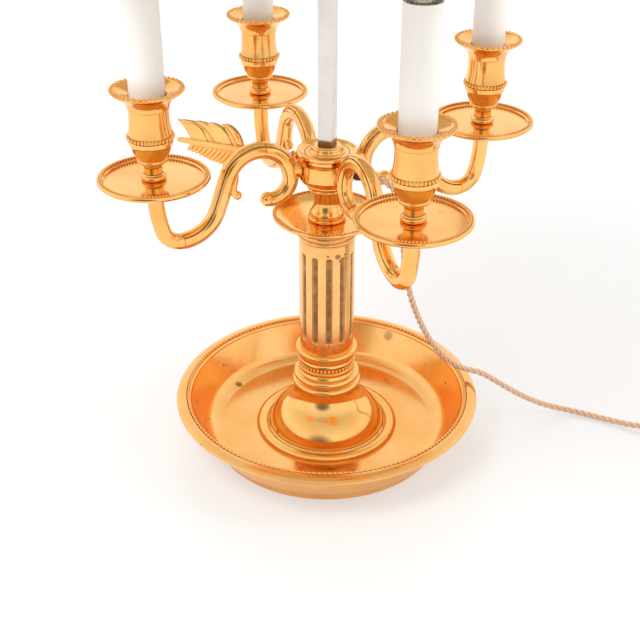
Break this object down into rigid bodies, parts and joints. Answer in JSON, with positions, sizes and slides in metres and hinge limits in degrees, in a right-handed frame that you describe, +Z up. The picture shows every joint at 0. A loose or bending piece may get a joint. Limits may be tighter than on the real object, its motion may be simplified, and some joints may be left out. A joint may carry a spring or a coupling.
{
  "type": "bouillotte lamp",
  "caption": "Bouillotte table lamp: scroll arms with drip pans and candle-tube lampholders round a fluted column, a dish base, and a metal shade that slides on a square rod.",
  "frame": {"origin": "centre of the base's underside, on the surface that the lamp stands on", "axes": "+Z up the column; -Y along the front arm, +X along the right arm; the arrow key points its feathers to -X+Y and the cord leaves at +X-Y"},
  "size_m": [0.5943, 0.4947, 0.696],
  "materials": {
    "ballast": "as cast",
    "brown_plastic": "gloss",
    "bulb_cap": "nickel plated",
    "bulb_glass": "clear",
    "candle_sleeve": "matt",
    "cord_silk": "twisted silk braid",
    "felt": "felt",
    "gilt_bronze": "polished and lacquered",
    "lampholder": "matt",
    "lead_cover": "plain",
    "pin_metal": "nickel plated",
    "plain_steel": "plain",
    "rocker_plastic": "gloss",
    "rod_steel": "drawn and polished",
    "shade_paint": "satin enamel",
    "tie_plastic": "matt"
  },
  "bodies": {
    "lamp": {"arm_leads": "lead_cover", "arm_nipples": "gilt_bronze", "arm_riser_back": "gilt_bronze", "arm_riser_front": "gilt_bronze", "arm_riser_left": "gilt_bronze", "arm_riser_right": "gilt_bronze", "arm_scroll_back": "gilt_bronze", "arm_scroll_front": "gilt_bronze", "arm_scroll_left": "gilt_bronze", "arm_scroll_right": "gilt_bronze", "arm_sweep_back": "gilt_bronze", "arm_sweep_front": "gilt_bronze", "arm_sweep_left": "gilt_bronze", "arm_sweep_right": "gilt_bronze", "base_ballast": "ballast", "base_dish": "gilt_bronze", "base_felt": "felt", "base_plate": "plain_steel", "bulb_caps": "bulb_cap", "bulb_glass": "bulb_glass", "candle_cup_back": "gilt_bronze", "candle_cup_front": "gilt_bronze", "candle_cup_left": "gilt_bronze", "candle_cup_right": "gilt_bronze", "candle_sleeve_back": "candle_sleeve", "candle_sleeve_front": "candle_sleeve", "candle_sleeve_left": "candle_sleeve", "candle_sleeve_right": "candle_sleeve", "centre_rod": "rod_steel", "coil_tie": "tie_plastic", "collar_dish": "gilt_bronze", "column": "gilt_bronze", "column_base_ring": "gilt_bronze", "cord": "cord_silk", "cord_bush": "brown_plastic", "cord_coil": "cord_silk", "drip_pan_back": "gilt_bronze", "drip_pan_front": "gilt_bronze", "drip_pan_left": "gilt_bronze", "drip_pan_right": "gilt_bronze", "finial": "gilt_bronze", "foot_bell": "gilt_bronze", "hub_body": "gilt_bronze", "hub_cap": "gilt_bronze", "hub_vase": "gilt_bronze", "lampholder_back": "lampholder", "lampholder_front": "lampholder", "lampholder_left": "lampholder", "lampholder_right": "lampholder", "plug_body": "brown_plastic", "plug_pins": "pin_metal", "switch_body": "brown_plastic", "tie_rod": "plain_steel", "tie_rod_nuts": "plain_steel"},
    "shade_carriage": {"shade": "shade_paint", "shade_spider": "gilt_bronze", "shade_carrier": "gilt_bronze"},
    "shade_key": {"shade_key": "gilt_bronze"},
    "arrow_key": {"arrow_key": "gilt_bronze"},
    "switch_rocker": {"switch_rocker": "rocker_plastic"}
  },
  "joints": [
    {"name": "shade_slide", "type": "slide", "parent": "lamp", "child": "shade_carriage", "axis": [0, 0, 1], "range_m": [-0.025, 0.05]},
    {"name": "shade_key_turn", "type": "hinge", "parent": "shade_carriage", "child": "shade_key", "pos_m": [0, 0, 0.5729], "axis": [0.7071, -0.7071, 0], "range_deg": [0, 180]},
    {"name": "arrow_key_turn", "type": "hinge", "parent": "lamp", "child": "arrow_key", "pos_m": [0, 0, 0.2484], "axis": [-0.7071, 0.7071, 0], "range_deg": [0, 180]},
    {"name": "switch_rocker_turn", "type": "hinge", "parent": "lamp", "child": "switch_rocker", "pos_m": [0.28131, -0.16002, 0.013], "axis": [0.7554, 0.6552, 0], "range_deg": [0, 16]}
  ]
}
